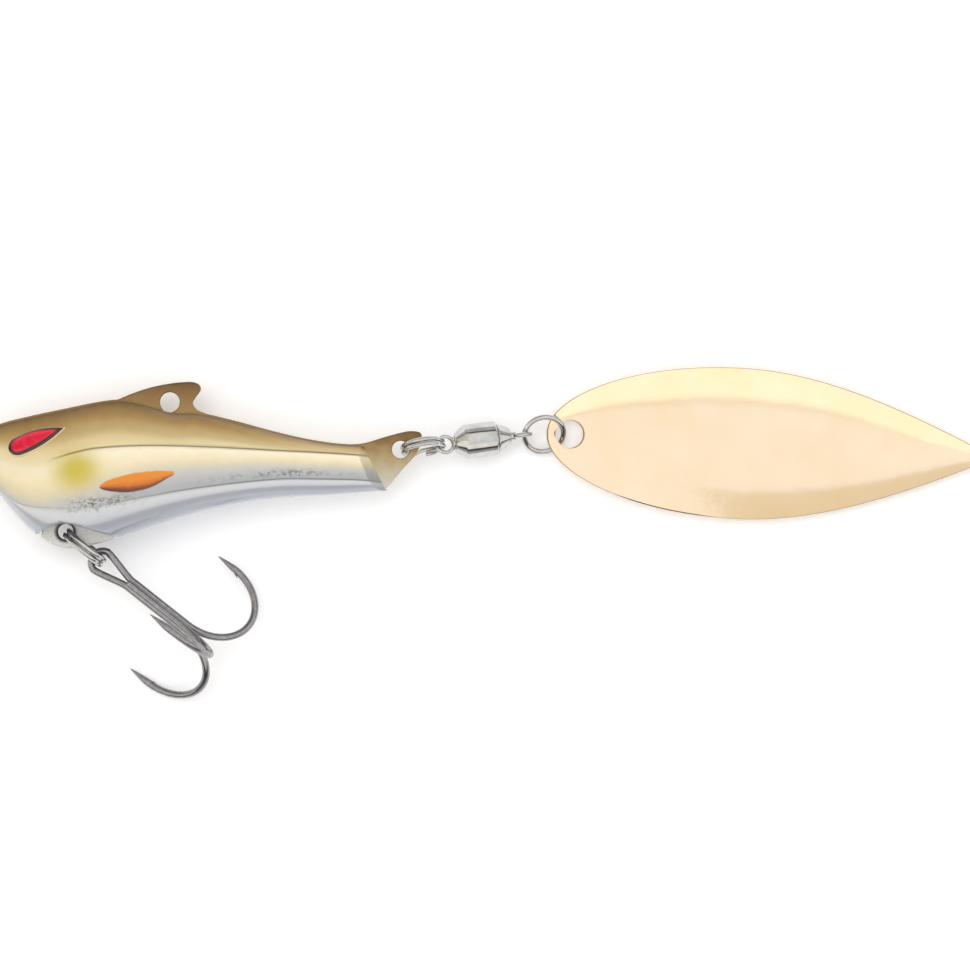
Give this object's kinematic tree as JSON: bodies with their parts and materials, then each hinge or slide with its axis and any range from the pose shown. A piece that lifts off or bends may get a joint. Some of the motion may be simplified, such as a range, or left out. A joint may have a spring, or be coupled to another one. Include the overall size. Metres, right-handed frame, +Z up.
{
  "type": "tail spinner lure",
  "caption": "Tail spinner fishing lure: a fish-shaped body cast on a stamped plate, with a belly treble hook on a split ring and a willow-leaf blade on a ball-bearing swivel.",
  "frame": {"origin": "middle of the lure's footprint, on the surface that it lies on", "axes": "+X from the nose to the tail and along the blade, +Y towards the back and the dorsal fin, +Z up out of the lure's left flank, which faces up as it lies on its side"},
  "size_m": [0.0992, 0.032, 0.0132],
  "materials": {
    "painted_casting": "holographic foil under clear coat, olive gold back over silver flanks and a pale grey belly",
    "painted_plate": "stamped stainless plate under semi-gloss bronze paint",
    "eye": "glossy red resin over foil",
    "nickel": "bright nickel plate",
    "black_nickel": "black nickel on drawn and forged wire",
    "bearing_steel": "ground and polished",
    "gold_blade": "pale gold plate, bright on a stamped and dished sheet"
  },
  "bodies": {
    "body": {"harness_plate": "painted_plate", "body_casting": "painted_casting", "left_eye": "eye", "right_eye": "eye"},
    "belly_ring": {"belly_split_ring": "nickel"},
    "treble": {"treble_double_hook": "black_nickel", "treble_single_hook": "black_nickel"},
    "tail_ring": {"tail_split_ring": "nickel"},
    "swivel": {"swivel_barrel": "nickel", "swivel_front_eye": "nickel", "swivel_rear_cap": "nickel"},
    "rotor": {"swivel_rotor": "nickel", "thrust_collar": "bearing_steel"},
    "bearing_balls": {"bearing_ball_1": "bearing_steel", "bearing_ball_2": "bearing_steel", "bearing_ball_3": "bearing_steel", "bearing_ball_4": "bearing_steel", "bearing_ball_5": "bearing_steel", "bearing_ball_6": "bearing_steel", "bearing_ball_7": "bearing_steel", "bearing_ball_8": "bearing_steel"},
    "blade_ring": {"blade_ring": "nickel"},
    "blade": {"blade": "gold_blade"}
  },
  "joints": [
    {"name": "belly_ring_swing", "type": "hinge", "parent": "body", "child": "belly_ring", "pos_m": [-0.04, 0.00016, 0.00432], "axis": [0, 0, 1], "range_deg": [-75, 4]},
    {"name": "treble_swing", "type": "hinge", "parent": "belly_ring", "child": "treble", "pos_m": [-0.03817, -0.00138, 0.00432], "axis": [0.6428, 0.766, 0], "range_deg": [-50, 50]},
    {"name": "tail_ring_swing", "type": "hinge", "parent": "body", "child": "tail_ring", "pos_m": [-0.00781, 0.00805, 0.00432], "axis": [0, 0, 1], "range_deg": [-70, 70]},
    {"name": "swivel_swing", "type": "hinge", "parent": "tail_ring", "child": "swivel", "pos_m": [-0.00567, 0.0083, 0.0039], "axis": [-0.1614, 0.9536, -0.2541], "range_deg": [-50, 50]},
    {"name": "rotor_spin", "type": "hinge", "parent": "swivel", "child": "rotor", "pos_m": [-0.00375, 0.00852, 0.00353], "axis": [0.9741, 0.1231, -0.1896], "continuous": true},
    {"name": "ball_orbit", "type": "hinge", "parent": "swivel", "child": "bearing_balls", "pos_m": [-0.00375, 0.00852, 0.00353], "axis": [0.9741, 0.1231, -0.1896], "continuous": true},
    {"name": "blade_ring_swing", "type": "hinge", "parent": "rotor", "child": "blade_ring", "pos_m": [0.0041, 0.00952, 0.002], "axis": [0.0827, 0.8587, 0.5057], "range_deg": [-50, 50]},
    {"name": "blade_swing", "type": "hinge", "parent": "blade_ring", "child": "blade", "pos_m": [0.00846, 0.00958, 0.00121], "axis": [0, 0, 1], "range_deg": [-25, 25]}
  ],
  "couplings": [
    {"joint": "ball_orbit", "follows": "rotor_spin", "ratio": 0.5}
  ]
}
